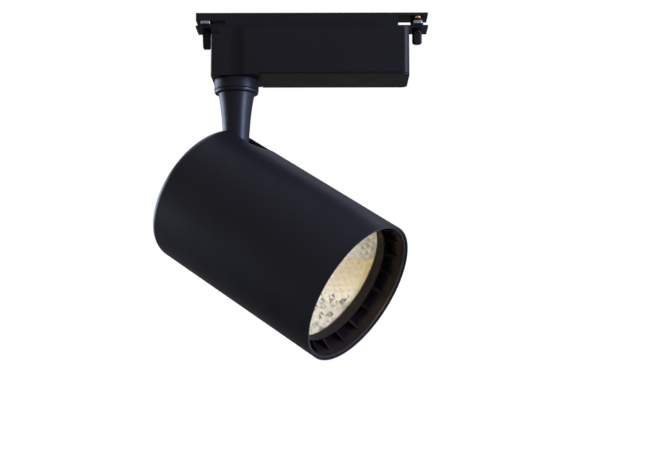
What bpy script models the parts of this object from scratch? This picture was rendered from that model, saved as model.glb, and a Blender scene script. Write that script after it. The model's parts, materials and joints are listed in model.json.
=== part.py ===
"""Track spotlight: a driver box that locks into a lighting track, a turning stem and a tilting head.

X runs along the track and +Z is up. The origin is on the pan axis, in the top face of the track
adapter. Sizes are in millimetres and become metres when an object is made.

Three ways to give a place:
  above(h)    height h above the track's lower face, which the driver box rests against
  on the pan axis, the stem's pieces turn with the empty "pan_axis"
  behind(t)   depth t behind the head's mouth, for pieces that turn with the empty "tilt_axis"
"""
import math

import bmesh
import bpy
from mathutils import Matrix, Vector

MM = 0.001
GAP = 0.3                       # left between two pieces that touch

# Adapter rail, in the track's channel
INSERT_HEIGHT = 12.5
INSERT_HALF_WIDTH = 9.3
INSERT_LEFT = -28.0
INSERT_RIGHT = 133.0
LUG_UNDERSIDE = 2.0             # the rail's ends sit this far up inside the channel
LUG_TOP = 3.6
RAIL_SUNK = 0.2                 # the rail lies in a shallow groove along the box
INSERT_SCREWS = [(x, y) for x in (4.0, 100.0) for y in (-5.0, 5.0)]

# Turn locks at the rail's ends
LEFT_LOCK_X = -21.0
RIGHT_LOCK_X = 125.8
SHAFT_RADIUS = 2.4
WING_RADIUS = 13.0
WING_HALF_WIDTH = 3.0
THUMB_LEFT_LENGTH = 10.8
THUMB_RIGHT_LENGTH = 7.6

# Driver box, and the neck at its left end
BOX_RIGHT = 119.5
BOX_HALF_DEPTH = 19.9
BOX_HEIGHT = 33.8
BOX_CORNER = 4.5
NECK_LEFT = -16.8
NECK_HALF_DEPTH = 16.4
NECK_CORNER = 2.0
NECK_RECESS = 0.5               # the neck's floor is this much higher than the cover
GROOVE_HALF_WIDTH = 10.9        # for the rail, between the two strips that meet the track
COVE_START = -3.65
COVE_RADIUS = 17.95
NOTCH_RIGHT = -11.2             # finger room under the left lock
NOTCH_DEPTH = 5.2
COVER_LEFT = 17.0
COVER_THICKNESS = 1.2
WALL = 2.0
FLOOR = 3.6
BOARD_TOP = -24.4

# Swivel
PAN = math.radians(-27.6)
BOLT_RADIUS = 5.0
BOLT_BORE = 3.0
COLLAR_RADIUS = 15.4
COLLAR_TOP = -33.6
SEAM = -40.75                   # joint line between the fixed and the turning collar ring
FLANGE_BOTTOM = -43.0
PIN_CIRCLE = 10.5
PIN_RADIUS = 0.8

# Stem: radius END + FLARE * exp(-drop / LENGTH) below the flange
STEM_END_RADIUS = 8.0
STEM_FLARE = 4.6
STEM_FLARE_LENGTH = 21.3
STEM_SOCKET_BOTTOM = -56.0
STEM_BORE_BOTTOM = -93.0
PIVOT_DROP = 102.0              # tilt axis below the track's face
KNUCKLE_HALF = 7.0

# Head, measured along the optical axis from the mouth
TILT = math.radians(31.66)      # below level
HEAD_RADIUS = 50.0
HEAD_LENGTH = 143.5
HEAD_EDGE = 5.0
HEAD_WALL = 2.0
REAR_WALL = 2.5
LIP = 1.1
PIVOT_DEPTH = 124.7
PIVOT_OFFSET = 21.2             # tilt axis above the optical axis
SLOT_HALF_WIDTH = 12.2
SLOT_END = 122.0                # centre of the slot's round front end
BOSS_CIRCLE = 44.2
BOSS_ANGLES = (60, 180, 300)

# Front bezel
SLEEVE_OUTER = 48.6
SLEEVE_INNER = 47.8
SLEEVE_DEPTH = 24.0
RING_FRONT = 14.0
LENS_SEAT = 19.9                # the ring's rear face
RING_INNER = 42.5
RING_OUTER = 43.6
POCKET_INNER = 45.5
POCKET_OUTER = 46.3
POCKET_REAR = 28.6
RIB_COUNT = 20
RIB_TIP = 5.0
THICK_RIB = 2.0
THIN_RIB = 0.9

# Optic and light source
LENS_FRONT = 20.1
LENS_THICKNESS = 1.3
LENS_RADIUS = 44.0
FLANGE_REAR = 24.1
FLANGE_RADIUS = 45.2
RETAINER_INNER = 44.0
BOWL_FRONT = 21.7
BOWL_REAR = 59.3
BOWL_MOUTH = 44.0
BOWL_THROAT = 9.0
BOWL_WALL = 1.2
SINK_FRONT = 66.0
SINK_PLATE = 5.0
SINK_REAR = 104.0
FIN_RADIUS = 39.5
FIN_PITCH = 6.0
FIN_THICKNESS = 1.8
HUB_RADIUS = 13.0

TRACK_FACE = -INSERT_HEIGHT
FINISHES = {
    "black_plastic": ((0.012, 0.012, 0.014), 0.45, 0.0),
    "black_metal": ((0.012, 0.012, 0.015), 0.38, 0.0),
    "steel": ((0.55, 0.55, 0.57), 0.35, 1.0),
    "copper": ((0.80, 0.42, 0.22), 0.3, 1.0),
    "aluminium": ((0.72, 0.72, 0.74), 0.4, 1.0),
    "mirror": ((0.90, 0.88, 0.84), 0.12, 1.0),
    "glass": ((0.95, 0.96, 0.96), 0.02, 0.0),
    "phosphor": ((0.95, 0.75, 0.25), 0.5, 0.0),
    "ceramic": ((0.85, 0.85, 0.83), 0.5, 0.0),
    "nylon": ((0.80, 0.79, 0.75), 0.5, 0.0),
    "silicone": ((0.04, 0.04, 0.04), 0.7, 0.0),
    "board_green": ((0.03, 0.18, 0.08), 0.45, 0.0),
    "dark_part": ((0.03, 0.03, 0.035), 0.5, 0.0),
    "yellow_tape": ((0.75, 0.55, 0.08), 0.5, 0.0),
    "lead_sleeve": ((0.02, 0.02, 0.02), 0.6, 0.0),
}


def above(height):
    return TRACK_FACE + height


def behind(depth):
    """Local Z on the tilt axis, which points to the head's rear."""
    return depth - PIVOT_DEPTH


# Shapes, each returned as a bmesh in millimetres

def arc(centre, radius, start, end, steps):
    """Points on an arc, with the angles in degrees."""
    angles = [math.radians(start + (end - start) * i / steps) for i in range(steps + 1)]
    return [(centre[0] + radius * math.cos(a), centre[1] + radius * math.sin(a)) for a in angles]


def mirrored(points):
    """Close a half outline that runs along the front by its copy along the back."""
    return points + [(x, -y) for x, y in reversed(points)]


def lathe(outline, steps=40):
    """Turn (radius, height) points about Z. An outline that ends on the axis stays open there."""
    bm = bmesh.new()
    verts = [bm.verts.new((radius, 0, height)) for radius, height in outline]
    edges = [bm.edges.new(pair) for pair in zip(verts, verts[1:])]
    if outline[0][0] > 0:
        edges.append(bm.edges.new((verts[-1], verts[0])))
    bmesh.ops.spin(bm, geom=verts + edges, axis=(0, 0, 1), cent=(0, 0, 0),
                   angle=2 * math.pi, steps=steps, use_merge=True)
    bmesh.ops.remove_doubles(bm, verts=bm.verts, dist=0.0001)
    return bm


def prism(outline, low, high):
    bm = bmesh.new()
    face = bm.faces.new([bm.verts.new((x, y, low)) for x, y in outline])
    grown = bmesh.ops.extrude_face_region(bm, geom=[face])
    top = [item for item in grown["geom"] if isinstance(item, bmesh.types.BMVert)]
    bmesh.ops.translate(bm, vec=(0, 0, high - low), verts=top)
    return bm


def block(x, y, z):
    return prism([(x[0], y[0]), (x[1], y[0]), (x[1], y[1]), (x[0], y[1])], z[0], z[1])


def rod(radius, low, high, x=0.0, y=0.0, steps=16):
    bm = lathe([(0, low), (radius, low), (radius, high), (0, high)], steps)
    bmesh.ops.translate(bm, vec=(x, y, 0), verts=bm.verts)
    return bm


def washer(inner, outer, low, high, steps=24):
    return lathe([(inner, low), (outer, low), (outer, high), (inner, high)], steps)


def hexagon(across_flats):
    return arc((0, 0), across_flats / math.sqrt(3), 0, 300, 5)


def cap_screw(head_radius, head, shank_radius, tip, steps=10):
    """A screw on Z. head is its (under, over) heights and tip the shank's far end."""
    under, over = head
    return lathe([(0, tip), (shank_radius, tip), (shank_radius, under),
                  (head_radius, under), (head_radius, over), (0, over)], steps)


def upside_down(bm):
    bmesh.ops.rotate(bm, matrix=Matrix.Rotation(math.pi, 3, "X"), verts=bm.verts)
    return bm


def along_y(bm):
    """Lay a shape made along Z along Y."""
    bmesh.ops.rotate(bm, matrix=Matrix.Rotation(-math.pi / 2, 3, "X"), verts=bm.verts)
    return bm


def along_x(bm):
    """Lay a shape made along Z along X."""
    bmesh.ops.rotate(bm, matrix=Matrix.Rotation(math.pi / 2, 3, "Y"), verts=bm.verts)
    return bm


def moved(bm, x=0.0, y=0.0, z=0.0):
    bmesh.ops.translate(bm, vec=(x, y, z), verts=bm.verts)
    return bm


def joined(*shapes):
    """Several separate shapes as one mesh, to cut or to fuse in one go."""
    result = bmesh.new()
    mesh = bpy.data.meshes.new("joined")
    for shape in shapes:
        shape.to_mesh(mesh)
        shape.free()
        result.from_mesh(mesh)
    bpy.data.meshes.remove(mesh)
    return result


# Objects

def finish_material(finish):
    material = bpy.data.materials.get(finish)
    if material is None:
        colour, roughness, metallic = FINISHES[finish]
        material = bpy.data.materials.new(finish)
        material.use_nodes = True
        shader = material.node_tree.nodes["Principled BSDF"]
        shader.inputs["Base Color"].default_value = (*colour, 1.0)
        shader.inputs["Roughness"].default_value = roughness
        shader.inputs["Metallic"].default_value = metallic
    return material


def add(name, bm, finish, parent=None, location=(0, 0, 0), rotation=0.0):
    """Make an object of a shape. rotation is about the object's own Z."""
    bmesh.ops.recalc_face_normals(bm, faces=bm.faces)
    bmesh.ops.scale(bm, vec=(MM, MM, MM), verts=bm.verts)
    mesh = bpy.data.meshes.new(name)
    bm.to_mesh(mesh)
    bm.free()
    mesh.materials.append(finish_material(finish))
    mesh.shade_smooth()
    mesh.set_sharp_from_angle(angle=math.radians(30))
    obj = bpy.data.objects.new(name, mesh)
    bpy.context.collection.objects.link(obj)
    obj.parent = parent
    obj.location = Vector(location) * MM
    obj.rotation_euler = (0, 0, rotation)
    return obj


def combine(obj, bm, operation):
    """Add a Boolean whose shape is given in the object's own axes."""
    helper = add(f"{obj.name}_{operation.lower()}_{len(obj.modifiers)}", bm, "dark_part", obj.parent)
    helper.location = obj.location
    helper.rotation_euler = obj.rotation_euler
    helper.hide_render = True
    helper.display_type = "WIRE"
    modifier = obj.modifiers.new(operation.lower(), "BOOLEAN")
    modifier.operation = operation
    modifier.object = helper
    return obj


def cut(obj, bm):
    return combine(obj, bm, "DIFFERENCE")


def fuse(obj, bm):
    return combine(obj, bm, "UNION")


def add_lead(name, points, radius, parent=None):
    """A round lead along a smooth curve through its points."""
    route = smooth_route([Vector(point) for point in points], step=radius * 5)
    curve = bpy.data.curves.new(name, "CURVE")
    curve.dimensions = "3D"
    curve.bevel_depth = radius * MM
    curve.bevel_resolution = 2
    curve.use_fill_caps = True
    spline = curve.splines.new("POLY")
    spline.points.add(len(route) - 1)
    for point, place in zip(spline.points, route):
        point.co = (*(place * MM), 1.0)
    curve.materials.append(finish_material("lead_sleeve"))
    obj = bpy.data.objects.new(name, curve)
    bpy.context.collection.objects.link(obj)
    obj.parent = parent
    return obj


def smooth_route(points, step):
    """Points a step apart on a Catmull-Rom curve through the given ones."""
    padded = [2 * points[0] - points[1]] + points + [2 * points[-1] - points[-2]]
    route = []
    for before, start, end, after in zip(padded, padded[1:], padded[2:], padded[3:]):
        count = max(1, round((end - start).length / step))
        for i in range(count):
            t = i / count
            route.append(0.5 * (2 * start + (end - before) * t
                                + (2 * before - 5 * start + 4 * end - after) * t ** 2
                                + (3 * start - before - 3 * end + after) * t ** 3))
    return route + [points[-1]]


def add_axis(name, location, rotation, parent=None):
    empty = bpy.data.objects.new(name, None)
    bpy.context.collection.objects.link(empty)
    empty.parent = parent
    empty.location = Vector(location) * MM
    empty.rotation_euler = rotation
    return empty


# Adapter rail and its locks

def add_adapter_insert():
    sides = (-INSERT_HALF_WIDTH, INSERT_HALF_WIDTH)
    rail = block((INSERT_LEFT, INSERT_RIGHT), sides, (above(-RAIL_SUNK), 0))
    insert = add("adapter_insert", rail, "black_plastic")
    wide = (-INSERT_HALF_WIDTH - 1, INSERT_HALF_WIDTH + 1)
    left_end = NECK_LEFT - GAP
    right_end = BOX_RIGHT + GAP
    wing_room = WING_RADIUS + 0.4
    cut(insert, joined(
        block((INSERT_LEFT - 1, left_end), wide, (above(-1), above(LUG_UNDERSIDE))),
        block((right_end, INSERT_RIGHT + 1), wide, (above(-1), above(LUG_UNDERSIDE))),
        block((INSERT_LEFT - 1, LEFT_LOCK_X + wing_room), wide, (above(LUG_TOP), above(7.0))),
        block((RIGHT_LOCK_X - wing_room, INSERT_RIGHT + 1), wide, (above(LUG_TOP), above(10.6)))))
    cut(insert, joined(
        block((12, 92), (-7, 7), (above(-1), above(9.5))),
        rod(SHAFT_RADIUS + GAP, above(0), above(11.4), LEFT_LOCK_X),
        rod(SHAFT_RADIUS + GAP, above(0), above(13), RIGHT_LOCK_X),
        *[rod(1.4, above(-1), above(3.0), x, y, 12) for x, y in INSERT_SCREWS]))
    return insert


def add_insert_screws():
    for number, (x, y) in enumerate(INSERT_SCREWS, 1):
        screw = upside_down(cap_screw(2.2, (0, 1.7), 1.1, -5.4))
        add(f"insert_screw_{number}", screw, "steel", location=(x, y, above(-2.8)))


def wing_plate():
    """Steel wings that turn over the track's lips."""
    tip = math.degrees(math.acos(WING_HALF_WIDTH / WING_RADIUS))
    ends = arc((0, 0), WING_RADIUS, tip, 180 - tip, 4) + arc((0, 0), WING_RADIUS, 180 + tip, 360 - tip, 4)
    return prism(ends, above(3.9), above(5.9))


def add_wings(name, x):
    wings = add(name, wing_plate(), "steel", location=(x, 0, 0))
    return cut(wings, rod(SHAFT_RADIUS + GAP, above(0), above(12)))


def add_left_lock():
    """Flat tapered thumb turn with its shaft."""
    low = -THUMB_LEFT_LENGTH
    side = [(-2.5, low + 0.7), (-1.9, low), (1.9, low), (2.5, low + 0.7), (3.1, 1.7), (-3.1, 1.7)]
    blade = along_y(prism([(x, -(TRACK_FACE + z)) for x, z in side], -2.0, 2.0))
    lever = add("lock_lever", blade, "black_plastic", location=(LEFT_LOCK_X, 0, 0))
    fuse(lever, rod(SHAFT_RADIUS, above(0.5), above(11.1)))
    add_wings("lock_cam", LEFT_LOCK_X)


def add_right_lock():
    """Round thumb turn with two grip flats, and the hub that carries the live contacts."""
    low = -THUMB_RIGHT_LENGTH
    knob = lathe([(0, above(low)), (2.6, above(low)), (3.4, above(low + 0.9)), (3.4, above(1.7)),
                  (SHAFT_RADIUS, above(1.7)), (SHAFT_RADIUS, above(6.2)), (4.5, above(6.2)),
                  (4.5, above(10.2)), (SHAFT_RADIUS, above(10.2)), (SHAFT_RADIUS, above(12)),
                  (0, above(12))], 24)
    lever = add("contact_lever", knob, "black_plastic", location=(RIGHT_LOCK_X, 0, 0))
    cut(lever, joined(*[block((-5, 5), sorted((side * 2.7, side * 6)), (above(-9), above(0.6)))
                        for side in (-1, 1)],
                      *[block((-2.5, 2.5), sorted((side * 3, side * 6)), (above(7.7), above(9.3)))
                        for side in (-1, 1)]))
    add_wings("contact_cam", RIGHT_LOCK_X)
    for name, side in (("line_contact", -1), ("neutral_contact", 1)):
        tip = arc((0, 10.6), 2.0, 0, 180, 6)
        blade = prism([(-2.0, 3.3), (2.0, 3.3)] + tip, above(8.0), above(9.0))
        turn = 0.0 if side > 0 else math.pi
        add(name, blade, "copper", location=(RIGHT_LOCK_X, 0, 0), rotation=turn)


def add_earth_contact():
    """Sprung copper leaf on the rail's side."""
    inner, thickness, half_length, bulge = INSERT_HALF_WIDTH + GAP, 0.4, 9.0, 0.7
    steps = 8
    places = [half_length * (2 * i / steps - 1) for i in range(steps + 1)]
    rise = [inner + bulge * math.cos(math.pi * x / (2 * half_length)) for x in places]
    outline = list(zip(places, rise)) + [(x, y + thickness) for x, y in reversed(list(zip(places, rise)))]
    add("earth_contact", prism(outline, above(5), above(9)), "copper", location=(66, 0, 0))


# Driver box

def plan_outline():
    """Neck, coves and box from above."""
    cove_centre = (COVE_START, -NECK_HALF_DEPTH - COVE_RADIUS)
    reach = math.degrees(math.asin((COVE_RADIUS - BOX_HALF_DEPTH + NECK_HALF_DEPTH) / COVE_RADIUS))
    front = arc((NECK_LEFT + NECK_CORNER, NECK_CORNER - NECK_HALF_DEPTH), NECK_CORNER, 180, 270, 3)
    front += arc(cove_centre, COVE_RADIUS, 90, reach, 5)
    front += box_corner()
    return mirrored(front)


def box_corner():
    return arc((BOX_RIGHT - BOX_CORNER, BOX_CORNER - BOX_HALF_DEPTH), BOX_CORNER, 270, 360, 4)


def add_housing():
    shell = add("housing_shell", prism(plan_outline(), above(-BOX_HEIGHT), above(0)), "black_plastic")
    inner = BOX_HALF_DEPTH - WALL
    neck_inner = NECK_HALF_DEPTH - WALL
    floor_top = FLOOR - BOX_HEIGHT + NECK_RECESS
    notch_roof = -NOTCH_DEPTH - WALL
    step = COVER_LEFT + WALL
    cut(shell, block((step, BOX_RIGHT - WALL), (-inner, inner), (above(-BOX_HEIGHT - 1), above(-2.5))))
    cut(shell, block((NOTCH_RIGHT + WALL, step + 1), (-neck_inner, neck_inner),
                     (above(floor_top), above(-2.5))))
    cut(shell, block((NECK_LEFT + WALL, NOTCH_RIGHT + WALL + 1), (-neck_inner, neck_inner),
                     (above(floor_top), above(notch_roof))))
    cut(shell, block((NECK_LEFT - 5, NOTCH_RIGHT), (-25, 25), (above(-NOTCH_DEPTH), above(1))))
    groove = (-GROOVE_HALF_WIDTH, GROOVE_HALF_WIDTH)
    cut(shell, block((NECK_LEFT - 5, BOX_RIGHT + 5), groove, (above(-RAIL_SUNK - GAP), above(1))))
    cut(shell, block((COVER_LEFT - GAP, BOX_RIGHT + 5), (-25, 25),
                     (above(-BOX_HEIGHT - 1), above(COVER_THICKNESS + GAP - BOX_HEIGHT))))
    cut(shell, block((NECK_LEFT - 5, COVER_LEFT), (-25, 25),
                     (above(-BOX_HEIGHT - 1), above(NECK_RECESS - BOX_HEIGHT))))
    cut(shell, joined(
        rod(BOLT_RADIUS + 0.4, above(-BOX_HEIGHT - 1), above(floor_top + 1), steps=32),
        rod(PIN_RADIUS + GAP, above(-32.0), above(floor_top + 1), -PIN_CIRCLE, 0, 12),
        *[rod(1.4, above(-4), above(1), x, y, 12) for x, y in INSERT_SCREWS]))
    return shell


def add_bottom_cover():
    """Cover plate with four posts for the driver board."""
    right = box_corner()
    outline = [(COVER_LEFT, -BOX_HALF_DEPTH)] + right + [(x, -y) for x, y in reversed(right)]
    outline.append((COVER_LEFT, BOX_HALF_DEPTH))
    top = above(COVER_THICKNESS - BOX_HEIGHT)
    cover = add("bottom_cover", prism(outline, above(-BOX_HEIGHT), top), "black_plastic")
    posts = [rod(2.0, top - 0.5, above(BOARD_TOP - 1.6 - GAP), x, y, 10)
             for x in (30, 106) for y in (-11, 11)]
    return fuse(cover, joined(*posts))


def add_driver():
    """Driver board with its largest components."""
    board_low = above(BOARD_TOP - 1.6)
    stand = BOARD_TOP + GAP
    add("driver_pcb", block((24, 112), (-15, 15), (board_low, above(BOARD_TOP))), "board_green")
    add("terminal_block", block((26, 34), (-6, 6), (above(stand), above(stand + 9))), "ceramic")
    choke = washer(2.8, 7, 0, 6, 20)
    add("emi_choke", choke, "copper", location=(43, 5, above(stand)))
    add("input_capacitor", rod(5, above(stand), above(stand + 17), 57, -6, 20), "dark_part")
    core = arc((0, 0), 12, 45, 315, 3)
    add("transformer", prism(core, 0, 15), "yellow_tape", location=(78, 0, above(stand)))
    add("output_capacitor", rod(4, above(stand), above(stand + 14), 98, 7, 20), "dark_part")
    add_lead("driver_lead", [(25.7, 0, above(-18)), (18, 0, above(-17)), (9, 0, above(-14.5)),
                             (3, 0, above(-15)), (0, 0, above(-17.5)), (0, 0, above(-20.9))], 1.6)


# Swivel and stem

def add_swivel(pan_axis):
    bore = BOLT_RADIUS + 0.5
    lower = SEAM + GAP / 2
    collar = [(bore, COLLAR_TOP), (COLLAR_RADIUS, COLLAR_TOP), (COLLAR_RADIUS, lower + 0.25),
              (COLLAR_RADIUS - 0.25, lower), (bore, lower)]
    add("swivel_collar", lathe([(r, above(z)) for r, z in reversed(collar)], 28), "black_metal")
    floor_top = FLOOR - BOX_HEIGHT + NECK_RECESS
    pin = rod(PIN_RADIUS, above(-31.7), above(floor_top + 1.3), -PIN_CIRCLE, 0, 12)
    add("stop_pin", pin, "steel")

    hole = BOLT_RADIUS + GAP
    add("swivel_bolt", washer(BOLT_BORE, BOLT_RADIUS, above(STEM_SOCKET_BOTTOM + GAP), above(-21.2), 24),
        "steel", pan_axis)
    stop = add("stop_washer", washer(hole, 9.2, above(floor_top + GAP), above(floor_top + 1.5), 24),
               "steel", pan_axis)
    lug = block((8.5, 12), (-1, 1), (above(floor_top + GAP), above(floor_top + 1.5)))
    stop.rotation_euler.z = -PAN
    fuse(stop, lug)
    add("wave_washer", washer(hole, 8.5, above(floor_top + 1.8), above(floor_top + 2.6), 24),
        "steel", pan_axis)
    nut = add("swivel_nut", prism(hexagon(15), above(floor_top + 2.9), above(floor_top + 7)),
              "steel", pan_axis)
    cut(nut, rod(hole, above(floor_top), above(floor_top + 9), steps=24))
    add("pan_washer", washer(BOLT_RADIUS + 0.6, 12.5, above(SEAM - 1.15), above(SEAM - 0.15)),
        "nylon", pan_axis)


def stem_radius(height):
    return STEM_END_RADIUS + STEM_FLARE * math.exp((height - FLANGE_BOTTOM) / STEM_FLARE_LENGTH)


def add_stem(pan_axis):
    """Turned stem: flange with the washer seat, flared shaft and flattened knuckle."""
    top = SEAM - 0.15
    knuckle = STEM_END_RADIUS + 0.3
    heights = [FLANGE_BOTTOM - 0.6 - 7.2 * i for i in range(7)]
    outline = [(knuckle * math.sin(math.radians(a)), -PIVOT_DROP - knuckle * math.cos(math.radians(a)))
               for a in (0, 30, 60, 90)]
    outline += [(stem_radius(height), height) for height in reversed(heights)]
    outline += [(13.1, FLANGE_BOTTOM), (14.6, FLANGE_BOTTOM), (15.0, FLANGE_BOTTOM + 0.4),
                (15.25, top - 0.3), (15.0, top), (12.8, top), (12.8, top - 1.3),
                (BOLT_RADIUS + GAP, top - 1.3), (BOLT_RADIUS + GAP, STEM_SOCKET_BOTTOM),
                (BOLT_BORE, STEM_SOCKET_BOTTOM), (BOLT_BORE, STEM_BORE_BOTTOM), (0, STEM_BORE_BOTTOM)]
    stem = add("stem", lathe([(r, above(z)) for r, z in outline], 28), "black_metal", pan_axis)
    flats = [block((-12, 12), sorted((side * KNUCKLE_HALF, side * 14)),
                   (above(-PIVOT_DROP - 12), above(-PIVOT_DROP + 11))) for side in (-1, 1)]
    cut(stem, joined(*flats))
    cut(stem, moved(along_y(rod(2.8, -15, 15)), z=above(-PIVOT_DROP)))
    cut(stem, moved(along_x(rod(2.3, 0, 15)), z=above(-89)))
    add_lead("stem_lead", [(0, 0, above(-21.5)), (0, 0, above(-40)), (0, 0, above(-60)), (0, 0, above(-80)),
                           (0.4, 0, above(-86)), (3.0, 0, above(-89)), (7.4, 0, above(-89))], 1.3, pan_axis)


# Head

def on_optic(name, bm, finish, tilt_axis, x=0.0, y=0.0, depth=0.0, rotation=0.0):
    """Place a shape made about the optical axis with its zero at the mouth."""
    return add(name, bm, finish, tilt_axis, (x - PIVOT_OFFSET, y, behind(depth)), rotation)


def boss_places():
    """Where the heat sink is screwed to the shell, across the optical axis."""
    angles = [math.radians(angle) for angle in BOSS_ANGLES]
    return [(BOSS_CIRCLE * math.cos(angle), BOSS_CIRCLE * math.sin(angle)) for angle in angles]


def add_head_shell(tilt_axis):
    inner = HEAD_RADIUS - HEAD_WALL
    edge = [(r, t) for t, r in arc((HEAD_LENGTH - HEAD_EDGE, HEAD_RADIUS - HEAD_EDGE), HEAD_EDGE, 90, 0, 5)]
    outline = [(0, HEAD_LENGTH - REAR_WALL), (inner - 3.0, HEAD_LENGTH - REAR_WALL),
               (inner, HEAD_LENGTH - REAR_WALL - 3.0), (inner, SLEEVE_DEPTH + GAP),
               (HEAD_RADIUS - LIP, SLEEVE_DEPTH + GAP), (HEAD_RADIUS - LIP, 0),
               (HEAD_RADIUS - 0.3, 0), (HEAD_RADIUS, 0.3)] + edge + [(0, HEAD_LENGTH)]
    shell = on_optic("head_shell", lathe(outline, 48), "black_metal", tilt_axis)
    width = (-SLOT_HALF_WIDTH, SLOT_HALF_WIDTH)
    outside, past_rear = HEAD_RADIUS + 10, HEAD_LENGTH + 10
    cut(shell, block((PIVOT_OFFSET, outside), width, (SLOT_END, past_rear)))
    round_end = SLOT_HALF_WIDTH - 0.05
    cut(shell, moved(along_x(rod(round_end, PIVOT_OFFSET, outside, steps=24)), z=SLOT_END))
    cut(shell, rod(round_end, SLOT_END, past_rear, PIVOT_OFFSET, steps=24))

    ledge = SINK_FRONT + SINK_PLATE + GAP
    fuse(shell, joined(*[rod(4.0, ledge, ledge + 13, x, y) for x, y in boss_places()]))
    cut(shell, joined(*[rod(1.8, ledge - 1, ledge + 11, x, y, 10) for x, y in boss_places()]))
    return shell


def add_bezel(tilt_axis):
    """Sleeve, lens pocket ring and the ribs that join them."""
    sleeve = washer(SLEEVE_INNER, SLEEVE_OUTER, 0.4, SLEEVE_DEPTH, 48)
    bezel = on_optic("front_bezel", sleeve, "black_plastic", tilt_axis)
    web = LENS_SEAT - 1.2
    ring = [(RING_INNER + 0.1, RING_FRONT), (RING_OUTER, RING_FRONT), (RING_OUTER, web),
            (POCKET_OUTER, web), (POCKET_OUTER, POCKET_REAR), (POCKET_INNER, POCKET_REAR),
            (POCKET_INNER, LENS_SEAT), (RING_INNER - 0.1, LENS_SEAT)]
    fuse(bezel, lathe(ring, 48))
    ribs = []
    for number in range(RIB_COUNT):
        half = (THIN_RIB if number % 2 == 0 else THICK_RIB) / 2
        side = [(RING_OUTER - 0.4, RING_FRONT + 0.2), (SLEEVE_INNER + 0.4, RIB_TIP),
                (SLEEVE_INNER + 0.4, LENS_SEAT - 0.4), (RING_OUTER - 0.4, LENS_SEAT - 0.4)]
        rib = prism([(r, -t) for r, t in side], -half, half)
        turn = Matrix.Rotation(2 * math.pi * number / RIB_COUNT, 3, "Z")
        bmesh.ops.rotate(along_y(rib), matrix=turn, verts=rib.verts)
        ribs.append(rib)
    return fuse(bezel, joined(*ribs))


def add_optic(tilt_axis):
    """Lens with its edge gasket, and the reflector that a ring holds against them."""
    lens_rear = LENS_FRONT + LENS_THICKNESS
    on_optic("lens", rod(LENS_RADIUS, LENS_FRONT, lens_rear, steps=48), "glass", tilt_axis)
    gasket = washer(LENS_RADIUS + GAP, FLANGE_RADIUS, LENS_SEAT + GAP, lens_rear, 48)
    on_optic("lens_gasket", gasket, "silicone", tilt_axis)

    depth = BOWL_REAR - BOWL_FRONT
    scale = (BOWL_MOUTH ** 2 - BOWL_THROAT ** 2) / depth
    bowl = []
    for i in range(6):
        t = depth * (1 - (i / 5) ** 1.4)
        bowl.append((math.sqrt(BOWL_MOUTH ** 2 - scale * t), BOWL_FRONT + t))
    flange = [(FLANGE_RADIUS, BOWL_FRONT), (FLANGE_RADIUS, FLANGE_REAR),
              (RETAINER_INNER - GAP, FLANGE_REAR)]
    outer = [(r + BOWL_WALL, t) for r, t in reversed(bowl[:-1])]
    on_optic("reflector", lathe(bowl + flange + outer, 48), "mirror", tilt_axis)
    low = FLANGE_REAR + GAP
    on_optic("retaining_ring", washer(RETAINER_INNER, FLANGE_RADIUS, low, low + 1, 48), "steel", tilt_axis)


def add_light_source(tilt_axis):
    holder = on_optic("cob_holder", washer(8.6, 20, 59.8, 65.6), "ceramic", tilt_axis)
    cut(holder, block((-10, 10), (-10, 10), (63.5, 67)))
    cut(holder, joined(*[rod(1.8, 58, 67, 0, side * 16.5, 12) for side in (-1, 1)]))
    for number, side in enumerate((-1, 1), 1):
        screw = upside_down(cap_screw(2.8, (0, 1.8), 1.5, -11.5))
        on_optic(f"holder_screw_{number}", screw, "steel", tilt_axis, 0, side * 16.5, 59.5)
    on_optic("cob_emitter", rod(6.6, 62.9, 63.6, steps=32), "phosphor", tilt_axis)
    on_optic("cob_board", block((-9.5, 9.5), (-9.5, 9.5), (63.9, 64.9)), "ceramic", tilt_axis)
    on_optic("thermal_pad", block((-9.5, 9.5), (-9.5, 9.5), (65.2, 65.7)), "silicone", tilt_axis)


def add_heat_sink(tilt_axis):
    """Round plate with straight fins and a hub for the tilt bracket."""
    plate_rear = SINK_FRONT + SINK_PLATE
    count = int(FIN_RADIUS / FIN_PITCH)
    comb = [(50, -SINK_FRONT), (-50, -SINK_FRONT), (-50, -plate_rear)]
    for i in range(-count, count + 1):
        low, high = i * FIN_PITCH - FIN_THICKNESS / 2, i * FIN_PITCH + FIN_THICKNESS / 2
        comb += [(low, -plate_rear), (low, -SINK_REAR), (high, -SINK_REAR), (high, -plate_rear)]
    comb.append((50, -plate_rear))
    sink = on_optic("heat_sink", along_y(prism(comb, -50, 50)), "aluminium", tilt_axis)
    rim = HEAD_RADIUS - HEAD_WALL - 0.4
    clip = [(0, SINK_FRONT - 1), (rim, SINK_FRONT - 1), (rim, plate_rear + 0.01),
            (FIN_RADIUS, plate_rear + 0.01), (FIN_RADIUS, SINK_REAR + 1), (0, SINK_REAR + 1)]
    combine(sink, lathe(clip, 36), "INTERSECT")
    fuse(sink, rod(HUB_RADIUS, plate_rear - 1, SINK_REAR, PIVOT_OFFSET, 0, 24))
    holes = [rod(1.8, SINK_FRONT - 1, plate_rear + 1, x, y, 12) for x, y in boss_places()]
    holes += [rod(1.8, SINK_FRONT - 1, SINK_FRONT + 5.4, 0, side * 16.5, 12) for side in (-1, 1)]
    holes += [rod(2.0, SINK_REAR - 10, SINK_REAR + 1, PIVOT_OFFSET + side * 8, 0, 12) for side in (-1, 1)]
    holes.append(block((40.8, 49), (-3, 3), (SINK_FRONT - 1, plate_rear + 1)))
    cut(sink, joined(*holes))
    for number, (x, y) in enumerate(boss_places(), 1):
        screw = upside_down(cap_screw(2.7, (0, 2.4), 1.5, -15.5))
        on_optic(f"heatsink_screw_{number}", screw, "steel", tilt_axis, x, y, SINK_FRONT - GAP)


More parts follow.
